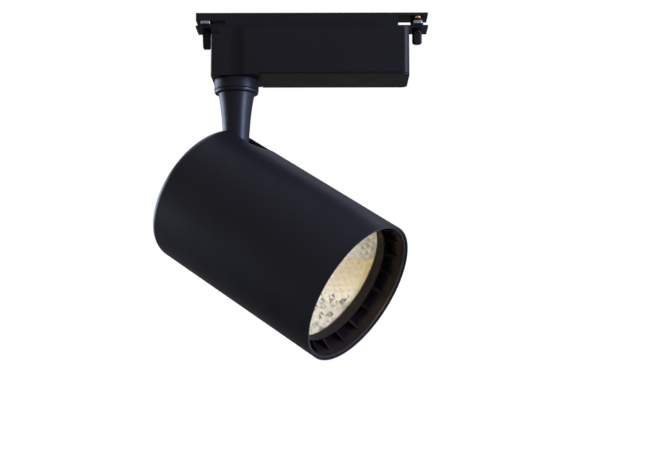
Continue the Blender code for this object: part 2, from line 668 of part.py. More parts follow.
def add_tilt_joint(tilt_axis):
    """Bracket on the heat sink, and the bolt that clamps the stem's knuckle."""
    base_front = behind(SINK_REAR + GAP)
    base_rear = base_front + 2.0
    cheek_in, cheek_out = 8.4, 10.4
    base = block((-13, 13), (-cheek_out, cheek_out), (base_front, base_rear))
    bracket = add("tilt_bracket", base, "steel", tilt_axis)
    eye = [(-11, -base_front), (-11, -base_rear - 4)] + [(x, -z) for x, z in arc((0, 0), 8, 180, 0, 8)]
    eye += [(11, -base_rear - 4), (11, -base_front)]
    cheeks = [along_y(prism(eye, *sorted((side * cheek_in, side * cheek_out)))) for side in (-1, 1)]
    fuse(bracket, joined(*cheeks))
    holes = [rod(2.0, base_front - 1, base_rear + 1, side * 8, 0, 12) for side in (-1, 1)]
    holes.append(along_y(rod(2.8, -12, 12)))
    cut(bracket, joined(*holes))
    for number, side in enumerate((-1, 1), 1):
        screw = cap_screw(3.2, (0, 2.0), 1.7, -12.0)
        add(f"bracket_screw_{number}", screw, "steel", tilt_axis, (side * 8, 0, base_rear + GAP))
        turn = washer(2.8, 7, *sorted((side * (KNUCKLE_HALF + GAP), side * (cheek_in - GAP))), 24)
        add(f"tilt_washer_{number}", along_y(turn), "nylon", tilt_axis)
    bolt = upside_down(along_y(cap_screw(4.4, (0, 3.0), 2.5, -2 * cheek_out - 6, 16)))
    add("tilt_bolt", bolt, "steel", tilt_axis, (0, -cheek_out - GAP, 0))
    nut = add("tilt_nut", along_y(prism(hexagon(8), cheek_out + GAP, cheek_out + 4.3)), "steel", tilt_axis)
    cut(nut, along_y(rod(2.8, 5, 18)))


def add_head_lead(tilt_axis):
    """Lead from beside the slot, past the fins, to the light source."""
    route = [(38.5, 113), (42, 109), (43.6, 103), (43.8, 92), (43.8, 80), (43.8, 68), (43, 62), (38, 58.6),
             (31, 59.5), (25, 62), (20.6, 62.6)]
    add_lead("head_lead", [(x - PIVOT_OFFSET, 0, behind(t)) for x, t in route], 1.7, tilt_axis)


def main():
    for obj in list(bpy.data.objects):
        bpy.data.objects.remove(obj, do_unlink=True)

    add_adapter_insert()
    add_insert_screws()
    add_left_lock()
    add_right_lock()
    add_earth_contact()
    add_housing()
    add_bottom_cover()
    add_driver()

    pan_axis = add_axis("pan_axis", (0, 0, 0), (0, 0, PAN))
    add_swivel(pan_axis)
    add_stem(pan_axis)

    tilt_turn = (0, TILT - math.pi / 2, 0)
    tilt_axis = add_axis("tilt_axis", (0, 0, above(-PIVOT_DROP)), tilt_turn, pan_axis)
    add_head_shell(tilt_axis)
    add_bezel(tilt_axis)
    add_optic(tilt_axis)
    add_light_source(tilt_axis)
    add_heat_sink(tilt_axis)
    add_tilt_joint(tilt_axis)
    add_head_lead(tilt_axis)


main()
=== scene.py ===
"""Track spotlight: fine meshes, materials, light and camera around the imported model.

Shapes are made in millimetres in the axes of the body they ride on, and become metres when an
object is made. Three sets of axes are used:
  FIXED    the part's own, with the origin in the top face of the adapter
  TURNED   on the pan axis, turned so that local Y is the tilt axis
  OPTIC    origin at the middle of the head's mouth, Z to the rear, X towards the stem
"""
import json
import math

import bmesh
import bpy
from mathutils import Matrix, Vector


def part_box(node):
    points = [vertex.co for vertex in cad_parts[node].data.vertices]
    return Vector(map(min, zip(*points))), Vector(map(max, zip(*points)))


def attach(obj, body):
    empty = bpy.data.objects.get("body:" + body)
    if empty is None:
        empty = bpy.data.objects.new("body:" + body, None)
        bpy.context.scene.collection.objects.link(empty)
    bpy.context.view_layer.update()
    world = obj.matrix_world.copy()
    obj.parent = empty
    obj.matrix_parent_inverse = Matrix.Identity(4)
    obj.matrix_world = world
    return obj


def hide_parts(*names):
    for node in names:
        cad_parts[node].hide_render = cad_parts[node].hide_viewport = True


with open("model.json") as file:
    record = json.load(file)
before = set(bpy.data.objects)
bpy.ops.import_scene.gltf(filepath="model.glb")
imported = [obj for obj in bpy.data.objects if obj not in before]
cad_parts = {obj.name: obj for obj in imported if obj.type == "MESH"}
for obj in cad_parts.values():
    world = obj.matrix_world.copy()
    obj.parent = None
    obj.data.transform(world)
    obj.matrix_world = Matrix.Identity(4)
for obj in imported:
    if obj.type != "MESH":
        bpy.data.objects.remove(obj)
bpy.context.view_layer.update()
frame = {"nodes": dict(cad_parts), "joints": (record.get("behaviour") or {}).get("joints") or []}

MM = 0.001
GAP = 0.3
NODES = frame["nodes"]
JOINTS = {joint["name"]: joint for joint in frame["joints"]}


# Sizes in millimetres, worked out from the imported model's boxes where it gives them

def node_box(name):
    low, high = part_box(name)
    return Vector(low) / MM, Vector(high) / MM


HOUSING_LOW, HOUSING_HIGH = node_box("housing_shell")
COVER_LOW, COVER_HIGH = node_box("bottom_cover")
RAIL_LOW, RAIL_HIGH = node_box("adapter_insert")
TRACK_FACE = HOUSING_HIGH.z
PIVOT = Vector(JOINTS["tilt"]["pos_m"]) / MM
LEFT_LOCK_X = JOINTS["lock_turn"]["pos_m"][0] / MM
RIGHT_LOCK_X = JOINTS["contact_turn"]["pos_m"][0] / MM

NECK_HALF_DEPTH = 16.4
NECK_CORNER = 2.0
NECK_RECESS = 0.5
COVE_START = -3.65
COVE_RADIUS = 17.95
BOX_CORNER = 4.5
NOTCH_RIGHT = -11.2
NOTCH_DEPTH = 5.2
HOUSING_WALL = 2.0
HOUSING_ROOF = 2.5
NECK_FLOOR = 3.6
SWIVEL_BORE_RADIUS = 5.4
COVER_THICKNESS = 1.2
POST_RADIUS = 2.0
POST_PLACES = [(x, y) for x in (30, 106) for y in (-11, 11)]
GROOVE_HALF_WIDTH = 10.9
GROOVE_DEPTH = 0.5

COLLAR_RADIUS = 15.4
COLLAR_TOP = -33.6
COLLAR_BORE_RADIUS = 5.5
SEAM = -40.75
HALF_SEAM = 0.15
FLANGE_BOTTOM = -43.0
STEM_END_RADIUS = 8.0
STEM_FLARE = 4.6
STEM_FLARE_LENGTH = 21.3
KNUCKLE_HALF = 7.0
BOLT_BORE_RADIUS = 5.3
LEAD_BORE_RADIUS = 3.0
BOLT_BORE_END = -56.0
LEAD_BORE_END = -93.0
PIVOT_HOLE_RADIUS = 2.8
LEAD_HOLE_RADIUS = 2.3
LEAD_HOLE_HEIGHT = -89

TILT = math.radians(31.66)
HEAD_RADIUS = 50.0
HEAD_LENGTH = 143.5
HEAD_EDGE = 5.0
HEAD_WALL = 2.0
REAR_WALL = 2.5
LIP = 1.1
PIVOT_DEPTH = 124.7
PIVOT_OFFSET = 21.2
SLOT_HALF_WIDTH = 12.2
SLOT_END = 122.0

SLEEVE_OUTER = 48.6
SLEEVE_INNER = 47.8
RIM_INNER = 47.6
RIM_FRONT = 0.8
RIM_REAR = 2.0
SLEEVE_DEPTH = 24.0
RING_FRONT = 14.0
LENS_SEAT = 19.9
RING_INNER = 42.5
RING_OUTER = 43.6
POCKET_INNER = 45.5
POCKET_OUTER = 46.3
POCKET_REAR = 28.6
RIB_COUNT = 20
RIB_TIP = 5.0
THICK_RIB = 2.0
THIN_RIB = 0.9

LENS_FRONT = 20.1
LENS_THICKNESS = 1.3
LENS_RADIUS = 44.0
FLANGE_REAR = 24.1
FLANGE_RADIUS = 45.2
BOWL_FRONT = 21.7
BOWL_REAR = 59.3
BOWL_MOUTH = 44.0
BOWL_THROAT = 9.0
BOWL_WALL = 1.2
FACETS_AROUND = 44
FACET_ROWS = 13
FACET_HEIGHT = 0.55
EMITTER_RADIUS = 6.6
HOLDER_WINDOW = 8.6
HOLDER_RADIUS = 20
HOLDER_FRONT = 59.8
HOLDER_REAR = 65.6
SOURCE_DEPTH = 62.9

WING_RADIUS = 13.0
WING_HALF_WIDTH = 3.0
WING_ROOM = 13.4
POST_HOLE_RADIUS = 2.7

FLOOR_HEIGHT = -430.0

# Light, tone and camera, in metres where they are places
GLOW = 116.0
GRAIN_DEPTH = 5e-6
PAINT_TONES = ((0.0110, 0.0102, 0.0132), (0.0128, 0.0120, 0.0155))
# Heights, places and distances of the reflector's painted reflections and painted shade
TOP_REFLECTION_HEIGHTS = (-0.180, -0.164)
BOTTOM_REFLECTION_HEIGHTS = (-0.207, -0.189)
FAR_SIDE_REFLECTION_PLACES = (-0.035, -0.012)
SOURCE_SHADE_DISTANCES = (0.036, 0.058)
AMBIENT_FRONT = 0.34
AMBIENT_BACK = 0.19
AMBIENT_BELOW = 0.44
CAMERA_PLACE = (0.0692, -0.8672, -0.2578)
CAMERA_TARGET = (0.0619, 0.0, -0.1508)
CAMERA_LENS = 70.4


def above(height):
    """Height above the track's lower face."""
    return TRACK_FACE + height


# Axes

def axes(origin, x, z):
    x, z = Vector(x).normalized(), Vector(z).normalized()
    y = z.cross(x)
    turn = Matrix((x, y, z)).transposed().to_4x4()
    return Matrix.Translation(Vector(origin) * MM) @ turn


TILT_AXIS = Vector(JOINTS["tilt"]["axis"])
UP = Vector((0, 0, 1))
PAN_X = TILT_AXIS.cross(UP)
REARWARD = UP * math.sin(TILT) - PAN_X * math.cos(TILT)
STEMWARD = UP * math.cos(TILT) + PAN_X * math.sin(TILT)
MOUTH = PIVOT - REARWARD * PIVOT_DEPTH - STEMWARD * PIVOT_OFFSET
FIXED = Matrix.Identity(4)
TURNED = axes((0, 0, 0), PAN_X, UP)
OPTIC = axes(MOUTH, STEMWARD, REARWARD)


# Shapes, each returned as a bmesh in millimetres

def arc(centre, radius, start, end, steps):
    angles = [math.radians(start + (end - start) * i / steps) for i in range(steps + 1)]
    return [(centre[0] + radius * math.cos(a), centre[1] + radius * math.sin(a)) for a in angles]


def mirrored(points):
    return points + [(x, -y) for x, y in reversed(points)]


def rounded(outline, radius, steps=3):
    """Round each corner of a closed outline, less where its sides are short."""
    points = [Vector(point) for point in outline]
    result = []
    for before, corner, after in zip(points[-1:] + points[:-1], points, points[1:] + points[:1]):
        back, on = before - corner, after - corner
        reach = min(radius, back.length * 0.4, on.length * 0.4)
        start, end = corner + back.normalized() * reach, corner + on.normalized() * reach
        for i in range(steps + 1):
            t = i / steps
            result.append(tuple(start * (1 - t) ** 2 + corner * 2 * t * (1 - t) + end * t ** 2))
    return result


def lathe(outline, steps=128):
    """Turn (radius, height) points about Z. An outline that ends on the axis stays open there."""
    bm = bmesh.new()
    verts = [bm.verts.new((radius, 0, height)) for radius, height in outline]
    edges = [bm.edges.new(pair) for pair in zip(verts, verts[1:])]
    if outline[0][0] > 0:
        edges.append(bm.edges.new((verts[-1], verts[0])))
    bmesh.ops.spin(bm, geom=verts + edges, axis=(0, 0, 1), cent=(0, 0, 0),
                   angle=2 * math.pi, steps=steps, use_merge=True)
    bmesh.ops.remove_doubles(bm, verts=bm.verts, dist=0.0001)
    return bm


def prism(outline, low, high):
    bm = bmesh.new()
    face = bm.faces.new([bm.verts.new((x, y, low)) for x, y in outline])
    grown = bmesh.ops.extrude_face_region(bm, geom=[face])
    top = [item for item in grown["geom"] if isinstance(item, bmesh.types.BMVert)]
    bmesh.ops.translate(bm, vec=(0, 0, high - low), verts=top)
    return bm


def block(x, y, z):
    return prism([(x[0], y[0]), (x[1], y[0]), (x[1], y[1]), (x[0], y[1])], z[0], z[1])


def rod(radius, low, high, x=0.0, y=0.0, steps=48):
    return moved(lathe([(0, low), (radius, low), (radius, high), (0, high)], steps), x, y)


def washer(inner, outer, low, high, steps=96, edge=0.12):
    side = rounded([(inner, low), (outer, low), (outer, high), (inner, high)], edge, 2)
    return lathe(side, steps)


def turned_by(bm, angle, axis):
    bmesh.ops.rotate(bm, matrix=Matrix.Rotation(angle, 3, axis), verts=bm.verts)
    return bm


def along_y(bm):
    return turned_by(bm, -math.pi / 2, "X")


def along_x(bm):
    return turned_by(bm, math.pi / 2, "Y")


def moved(bm, x=0.0, y=0.0, z=0.0):
    bmesh.ops.translate(bm, vec=(x, y, z), verts=bm.verts)
    return bm


def joined(*shapes):
    result = bmesh.new()
    mesh = bpy.data.meshes.new("joined")
    for shape in shapes:
        shape.to_mesh(mesh)
        shape.free()
        result.from_mesh(mesh)
    bpy.data.meshes.remove(mesh)
    return result


# Pieces

def mesh_object(name, bm, axes_of):
    """An object at the scene's origin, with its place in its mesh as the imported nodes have."""
    bmesh.ops.recalc_face_normals(bm, faces=bm.faces)
    bmesh.ops.transform(bm, matrix=axes_of @ Matrix.Scale(MM, 4), verts=bm.verts)
    mesh = bpy.data.meshes.new(name)
    bm.to_mesh(mesh)
    bm.free()
    obj = bpy.data.objects.new(name, mesh)
    bpy.context.collection.objects.link(obj)
    return obj


def combine(obj, changes, axes_of):
    """Cut and fuse shapes given in the same axes, and keep the result as the object's mesh."""
    helpers = []
    for operation, bm in changes:
        helper = mesh_object(f"{obj.name}_helper", bm, axes_of)
        helpers.append(helper)
        modifier = obj.modifiers.new(operation, "BOOLEAN")
        modifier.operation = operation
        modifier.solver = "EXACT"
        modifier.object = helper
    bpy.context.view_layer.update()
    depsgraph = bpy.context.evaluated_depsgraph_get()
    made = bpy.data.meshes.new_from_object(obj.evaluated_get(depsgraph))
    obj.modifiers.clear()
    old = obj.data
    obj.data = made
    bpy.data.meshes.remove(old)
    for helper in helpers:
        spare = helper.data
        bpy.data.objects.remove(helper)
        bpy.data.meshes.remove(spare)


def soften(obj, width, angle=32, segments=2):
    """Bevel the mesh's sharp edges."""
    bm = bmesh.new()
    bm.from_mesh(obj.data)
    bmesh.ops.remove_doubles(bm, verts=bm.verts, dist=2e-6)
    flat = math.radians(1)
    bmesh.ops.dissolve_limit(bm, angle_limit=flat, verts=bm.verts, edges=bm.edges)
    limit = math.radians(angle)
    sharp = [edge for edge in bm.edges if edge.is_manifold and edge.calc_face_angle(0) > limit]
    bmesh.ops.bevel(bm, geom=sharp, offset=width * MM, offset_type="OFFSET", segments=segments,
                    profile=0.5, affect="EDGES", clamp_overlap=True, loop_slide=True)
    bmesh.ops.remove_doubles(bm, verts=bm.verts, dist=1e-6)
    bm.to_mesh(obj.data)
    bm.free()


def piece(name, bm, material, body, stands_for, axes_of=FIXED, changes=(), edge=0.0, crease=38):
    """Make a finished piece: combine shapes, soften its edges, shade it and ride it on its body.

    With no crease angle every face is shaded flat."""
    obj = mesh_object(name, bm, axes_of)
    if changes:
        combine(obj, changes, axes_of)
    if edge:
        soften(obj, edge)
    obj.data.materials.clear()
    obj.data.materials.append(material)
    if crease:
        obj.data.shade_smooth()
        obj.data.set_sharp_from_angle(angle=math.radians(crease))
        weighted = obj.modifiers.new("flat faces stay flat", "WEIGHTED_NORMAL")
        weighted.keep_sharp = True
    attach(obj, body)
    if stands_for:
        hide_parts(*stands_for)
    return obj


# Materials

class Nodes:
    """Short names for making a material's nodes."""

    def __init__(self, name):
        self.material = bpy.data.materials.new(name)
        self.material.use_nodes = True
        self.tree = self.material.node_tree
        self.shader = self.tree.nodes["Principled BSDF"]
        self.place = self.new("ShaderNodeTexCoord").outputs["Object"]

    def new(self, kind, **values):
        node = self.tree.nodes.new(kind)
        for key, value in values.items():
            setattr(node, key, value)
        return node

    def link(self, source, target):
        self.tree.links.new(source, target)

    def noise(self, scale, detail=2.0, roughness=0.5, place=None):
        node = self.new("ShaderNodeTexNoise")
        node.inputs["Scale"].default_value = scale
        node.inputs["Detail"].default_value = detail
        node.inputs["Roughness"].default_value = roughness
        self.link(place or self.place, node.inputs["Vector"])
        return node.outputs["Fac"]

    def stretched(self, x, y, z):
        node = self.new("ShaderNodeMapping")
        node.inputs["Scale"].default_value = (x, y, z)
        self.link(self.place, node.inputs["Vector"])
        return node.outputs["Vector"]

    def spread(self, source, low, high, start=0.3, end=0.7):
        """Bring a pattern's range, start to end, to the range low to high."""
        node = self.new("ShaderNodeMapRange")
        for key, value in (("From Min", start), ("From Max", end), ("To Min", low), ("To Max", high)):
            node.inputs[key].default_value = value
        self.link(source, node.inputs["Value"])
        return node.outputs["Result"]

    def tint(self, source, dark, light):
        node = self.new("ShaderNodeMix", data_type="RGBA")
        node.inputs["A"].default_value = (*dark, 1)
        node.inputs["B"].default_value = (*light, 1)
        self.link(source, node.inputs["Factor"])
        return node.outputs["Result"]

    def bump(self, source, height, distance):
        """height is the pattern's share, and distance its full depth in metres."""
        node = self.new("ShaderNodeBump")
        node.inputs["Strength"].default_value = height
        node.inputs["Distance"].default_value = distance
        self.link(source, node.inputs["Height"])
        before = self.shader.inputs["Normal"]
        if before.links:
            self.link(before.links[0].from_socket, node.inputs["Normal"])
        self.link(node.outputs["Normal"], before)

    def set(self, **values):
        for key, value in values.items():
            self.shader.inputs[key.replace("_", " ")].default_value = value

    def blend(self, share, one, two):
        node = self.new("ShaderNodeMix", data_type="RGBA")
        for source, target in ((share, "Factor"), (one, "A"), (two, "B")):
            self.link(source, node.inputs[target])
        return node.outputs["Result"]

    def plus(self, one, two):
        node = self.new("ShaderNodeMath", operation="ADD")
        self.link(one, node.inputs[0])
        self.link(two, node.inputs[1])
        return node.outputs["Value"]

    def colour(self, source):
        self.link(source, self.shader.inputs["Base Color"])

    def rough(self, source):
        self.link(source, self.shader.inputs["Roughness"])


def satin_black(name, dark, light, rough, grain, depth, shine=0.25):
    """Painted or moulded black with a fine grain and slow changes of tone and gloss."""
    make = Nodes(name)
    make.colour(make.tint(make.spread(make.noise(25, 3), 0, 1), dark, light))
    make.rough(make.spread(make.noise(60, 4), rough - 0.03, rough + 0.03))
    make.bump(make.noise(grain, 2, 0.6), 0.5, depth)
    make.bump(make.noise(grain / 6, 2), 0.3, depth * 1.5)
    make.set(Specular_IOR_Level=shine)
    return make.material


def metal(name, dark, light, rough, stretch=(1, 1, 1), depth=4e-6):
    make = Nodes(name)
    lines = make.noise(900, 3, 0.6, make.stretched(*stretch))
    make.colour(make.tint(make.spread(make.noise(120, 4), 0, 1), dark, light))
    make.rough(make.spread(lines, rough - 0.06, rough + 0.08))
    make.bump(lines, 0.5, depth)
    make.set(Metallic=1.0)
    return make.material


def moulded(name, dark, light, rough, grain=1200, depth=6e-6, **values):
    make = Nodes(name)
    make.colour(make.tint(make.spread(make.noise(80, 3), 0, 1), dark, light))
    make.rough(make.spread(make.noise(200, 3), rough - 0.05, rough + 0.05))
    make.bump(make.noise(grain, 2), 0.5, depth)
    make.set(**values)
    return make.material


def clear_glass():
    """Flat glass that lets light straight through and mirrors a little at a slant."""
    make = Nodes("clear_glass")
    tree = make.tree
    clear = make.new("ShaderNodeBsdfTransparent")
    clear.inputs["Color"].default_value = (0.955, 0.975, 0.96, 1)
    gloss = make.new("ShaderNodeBsdfGlossy")
    make.link(make.spread(make.noise(30, 3), 0.02, 0.05), gloss.inputs["Roughness"])
    slant = make.new("ShaderNodeFresnel")
    slant.inputs["IOR"].default_value = 1.5
    leaving = make.new("ShaderNodeNewGeometry").outputs["Backfacing"]
    share = make.new("ShaderNodeMix")
    make.link(leaving, share.inputs["Factor"])
    make.link(slant.outputs["Fac"], share.inputs["A"])
    share.inputs["B"].default_value = 0.0
    mix = make.new("ShaderNodeMixShader")
    make.link(share.outputs["Result"], mix.inputs["Fac"])
    make.link(clear.outputs["BSDF"], mix.inputs[1])
    make.link(gloss.outputs["BSDF"], mix.inputs[2])
    make.link(mix.outputs["Shader"], tree.nodes["Material Output"].inputs["Surface"])
    tree.nodes.remove(make.shader)
    return make.material


def mirror_metal():
    """Aluminised plastic, with painted reflections and painted shade in its colour. Each flat facet
    has its own tone by the way it faces, a painted reflection.

    The facets are greyer towards the top, a painted reflection of the dark sleeve; more uneven towards
    the bottom and the far side, painted reflections of the glowing source and the dark inside; and
    darker round the light source, painted shade."""
    make = Nodes("aluminised_facets_painted_reflections")
    facing = make.new("ShaderNodeNewGeometry").outputs["True Normal"]
    # tone: each facet's cream or grey by the way it faces, a painted reflection
    tone = make.spread(make.noise(9, 0, place=facing), 0, 1, 0.33, 0.52)
    axis = make.new("ShaderNodeSeparateXYZ")
    make.link(make.place, axis.inputs["Vector"])
    height = axis.outputs["Z"]
    # uneven: how much the painted reflections differ from facet to facet
    uneven = make.spread(tone, 0.3, 0, 0, 1)
    # Greyer facets towards the top: painted reflection of the dark sleeve
    high = make.spread(height, 0, 1, *TOP_REFLECTION_HEIGHTS)
    grey_top_reflection = make.spread(make.plus(high, uneven), 0, 1, 0.66, 0.78)
    # More uneven facets towards the bottom and the far side: painted reflections, bright and dark
    far_side_reflection = make.spread(axis.outputs["Y"], -1, 0, *FAR_SIDE_REFLECTION_PLACES)
    low_and_far_reflection = make.plus(make.spread(height, 1, 0, *BOTTOM_REFLECTION_HEIGHTS), far_side_reflection)
    lower = make.spread(make.plus(low_and_far_reflection, uneven), 0, 1, 0.52, 0.64)
    # Darker facets round the light source: painted shade
    from_source = make.new("ShaderNodeVectorMath", operation="DISTANCE")
    make.link(make.place, from_source.inputs[0])
    from_source.inputs[1].default_value = OPTIC @ Vector((0, 0, SOURCE_DEPTH * MM))
    near_source_shade = make.spread(from_source.outputs["Value"], 1, 0, *SOURCE_SHADE_DISTANCES)
    far_tone = make.tint(tone, (0.90, 0.79, 0.53), (0.97, 0.86, 0.60))
    source_shade_tone = make.tint(tone, (0.56, 0.48, 0.33), (0.63, 0.54, 0.37))
    middle = make.blend(near_source_shade, far_tone, source_shade_tone)
    # top: grey of the painted reflection of the dark sleeve at the top
    top = make.tint(tone, (0.62, 0.65, 0.67), (0.78, 0.80, 0.81))
    # bottom: dark to bright tones of the painted reflections at the bottom and far side
    bottom = make.tint(tone, (0.18, 0.155, 0.10), (0.66, 0.57, 0.40))
    make.colour(make.blend(lower, make.blend(grey_top_reflection, middle, top), bottom))
    make.rough(make.spread(make.noise(300, 2), 0.5, 0.6))
    make.set(Metallic=0.06)
    return make.material


def glowing_phosphor():
    make = Nodes("glowing_phosphor")
    grains = make.noise(2500, 2)
    make.colour(make.tint(make.spread(grains, 0, 1), (0.85, 0.62, 0.16), (0.95, 0.76, 0.30)))
    make.link(make.tint(make.spread(grains, 0, 1), (1.0, 0.74, 0.40), (1.0, 0.80, 0.50)),
              make.shader.inputs["Emission Color"])
    make.set(Emission_Strength=GLOW, Roughness=0.45)
    return make.material


BLACK_PAINT = satin_black("black_powder_coat", *PAINT_TONES, 0.38, 2200, GRAIN_DEPTH)
BLACK_PLASTIC = satin_black("black_moulded", (0.0100, 0.0090, 0.0098), (0.0116, 0.0104, 0.0114),
                            0.42, 2600, GRAIN_DEPTH, 0.2)
COLLAR_PAINT = satin_black("collar_powder_coat", *PAINT_TONES, 0.42, 2200, GRAIN_DEPTH, 0.2)
RIM_PAINT = satin_black("rim_powder_coat", *PAINT_TONES, 0.4, 2200, GRAIN_DEPTH, 0.5)
# Bezel black, darker and redder than the other black plastic: painted shade and painted warm light
# from the lamp inside the head
SHADED_WARM_BEZEL_PLASTIC = satin_black("bezel_moulded_painted_shade_and_warm_light", (0.0048, 0.0022, 0.0026), (0.0058, 0.0027, 0.0031),
                            0.64, 2600, GRAIN_DEPTH, 0.16)
STEEL = metal("zinc_plated_steel", (0.36, 0.36, 0.38), (0.48, 0.48, 0.50), 0.38)
COPPER = metal("copper_strip", (0.72, 0.36, 0.19), (0.86, 0.50, 0.29), 0.30, (0.15, 1, 1))
ALUMINIUM = metal("die_cast_aluminium", (0.62, 0.63, 0.65), (0.76, 0.76, 0.78), 0.42)
BOARD = moulded("solder_mask", (0.020, 0.13, 0.055), (0.035, 0.20, 0.09), 0.38, 3000)
PALE = moulded("natural_nylon", (0.74, 0.73, 0.68), (0.84, 0.83, 0.79), 0.5)
SLEEVED = moulded("shrink_sleeve", (0.024, 0.024, 0.030), (0.036, 0.036, 0.042), 0.32)
TAPE = moulded("yellow_tape", (0.68, 0.48, 0.06), (0.80, 0.60, 0.11), 0.35)
LEAD = moulded("lead_sleeve", (0.016, 0.016, 0.017), (0.026, 0.026, 0.027), 0.5, 1800)
SILICONE = moulded("dark_silicone", (0.012, 0.012, 0.012), (0.02, 0.02, 0.02), 0.7)
CERAMIC = moulded("white_ceramic", (0.80, 0.80, 0.77), (0.88, 0.88, 0.86), 0.35)
GLASS = clear_glass()
MIRROR = mirror_metal()
PHOSPHOR = glowing_phosphor()


# Driver box

def box_corner(inset=0.0, steps=10):
    right, half = HOUSING_HIGH.x, HOUSING_HIGH.y
    centre = (right - BOX_CORNER, BOX_CORNER - half)
    return arc(centre, BOX_CORNER - inset, 270, 360, steps)


def plan_outline():
    """Neck, coves and box from above."""
    half = HOUSING_HIGH.y
    cove_centre = (COVE_START, -NECK_HALF_DEPTH - COVE_RADIUS)
    reach = math.degrees(math.asin((COVE_RADIUS - half + NECK_HALF_DEPTH) / COVE_RADIUS))
    corner = (HOUSING_LOW.x + NECK_CORNER, NECK_CORNER - NECK_HALF_DEPTH)
    front = arc(corner, NECK_CORNER, 180, 270, 8)
    front += arc(cove_centre, COVE_RADIUS, 90, reach, 18)
    front += box_corner()
    return mirrored(front)


def make_housing():
    bottom = COVER_LOW.z
    inner = HOUSING_HIGH.y - HOUSING_WALL
    neck_inner = NECK_HALF_DEPTH - HOUSING_WALL
    left, right = HOUSING_LOW.x, HOUSING_HIGH.x
    neck_floor = bottom + NECK_RECESS + NECK_FLOOR
    step = COVER_LOW.x + HOUSING_WALL
    roof = above(-HOUSING_ROOF)
    changes = [
        ("DIFFERENCE", block((step, right - HOUSING_WALL), (-inner, inner), (bottom - 1, roof))),
        ("DIFFERENCE", block((NOTCH_RIGHT + HOUSING_WALL, step + 1), (-neck_inner, neck_inner),
                             (neck_floor, roof))),
        ("DIFFERENCE", block((left - 5, NOTCH_RIGHT), (-25, 25), (above(-NOTCH_DEPTH), above(1)))),
        ("DIFFERENCE", block((left - 5, right + 5), (-GROOVE_HALF_WIDTH, GROOVE_HALF_WIDTH),
                             (above(-GROOVE_DEPTH), above(1)))),
        ("DIFFERENCE", block((COVER_LOW.x - GAP, right + 5), (-25, 25), (bottom - 1, bottom + 1.5))),
        ("DIFFERENCE", block((left - 5, COVER_LOW.x), (-25, 25), (bottom - 1, bottom + NECK_RECESS))),
        ("DIFFERENCE", rod(SWIVEL_BORE_RADIUS, bottom - 1, neck_floor + 1)),
    ]
    piece("housing", prism(plan_outline(), bottom, above(0)), BLACK_PLASTIC, "adapter",
          ["housing_shell"], changes=changes, edge=0.35)


def make_cover():
    right = box_corner()
    half = COVER_HIGH.y
    far_right = [(x, -y) for x, y in reversed(right)]
    outline = [(COVER_LOW.x, -half)] + right + far_right + [(COVER_LOW.x, half)]
    top = COVER_LOW.z + COVER_THICKNESS
    posts = [rod(POST_RADIUS, top - 0.5, COVER_HIGH.z, x, y) for x, y in POST_PLACES]
    piece("cover", prism(outline, COVER_LOW.z, top), BLACK_PLASTIC, "adapter", ["bottom_cover"],
          changes=[("UNION", joined(*posts))], edge=0.3)


def make_collar():
    lower = SEAM + HALF_SEAM
    side = rounded([(COLLAR_BORE_RADIUS, COLLAR_TOP), (COLLAR_RADIUS, COLLAR_TOP),
                    (COLLAR_RADIUS, lower), (COLLAR_BORE_RADIUS, lower)], 0.3)
    piece("collar", lathe([(r, above(z)) for r, z in side]), COLLAR_PAINT, "adapter",
          ["swivel_collar"])


# Stem

def stem_radius(height):
    return STEM_END_RADIUS + STEM_FLARE * math.exp((height - FLANGE_BOTTOM) / STEM_FLARE_LENGTH)


def make_stem():
    top = SEAM - HALF_SEAM
    drop = PIVOT.z - TRACK_FACE
    knuckle = STEM_END_RADIUS + 0.3
    outline = [(r, drop - z) for r, z in arc((0, 0), knuckle, 90, 0, 12)]
    shaft = [FLANGE_BOTTOM - 0.6 - 2.0 * i for i in range(23)]
    outline += [(stem_radius(height), height) for height in reversed(shaft)]
    outline += [(12.75, FLANGE_BOTTOM - 0.3), (13.1, FLANGE_BOTTOM)]
    outline += [(14.55, FLANGE_BOTTOM), (14.85, FLANGE_BOTTOM + 0.12), (15.0, FLANGE_BOTTOM + 0.4)]
    outline += [(15.25, top - 0.3), (15.17, top - 0.08), (15.0, top), (12.8, top), (12.8, top - 1.3),
                (BOLT_BORE_RADIUS, top - 1.3), (BOLT_BORE_RADIUS, BOLT_BORE_END),
                (LEAD_BORE_RADIUS, BOLT_BORE_END), (LEAD_BORE_RADIUS, LEAD_BORE_END),
                (0, LEAD_BORE_END)]
    outline[0] = (0, outline[0][1])
    pivot = above(drop)
    flats = [block((-12, 12), sorted((side * KNUCKLE_HALF, side * 14)), (pivot - 12, pivot + 11))
             for side in (-1, 1)]
    changes = [("DIFFERENCE", joined(*flats)),
               ("DIFFERENCE", moved(along_y(rod(PIVOT_HOLE_RADIUS, -15, 15)), z=pivot)),
               ("DIFFERENCE", moved(along_x(rod(LEAD_HOLE_RADIUS, 0, 15)),
                                    z=above(LEAD_HOLE_HEIGHT)))]
    piece("stem_turned", lathe([(r, above(z)) for r, z in outline]), BLACK_PAINT, "stem", ["stem"],
          TURNED, changes, edge=0.25)


# Head

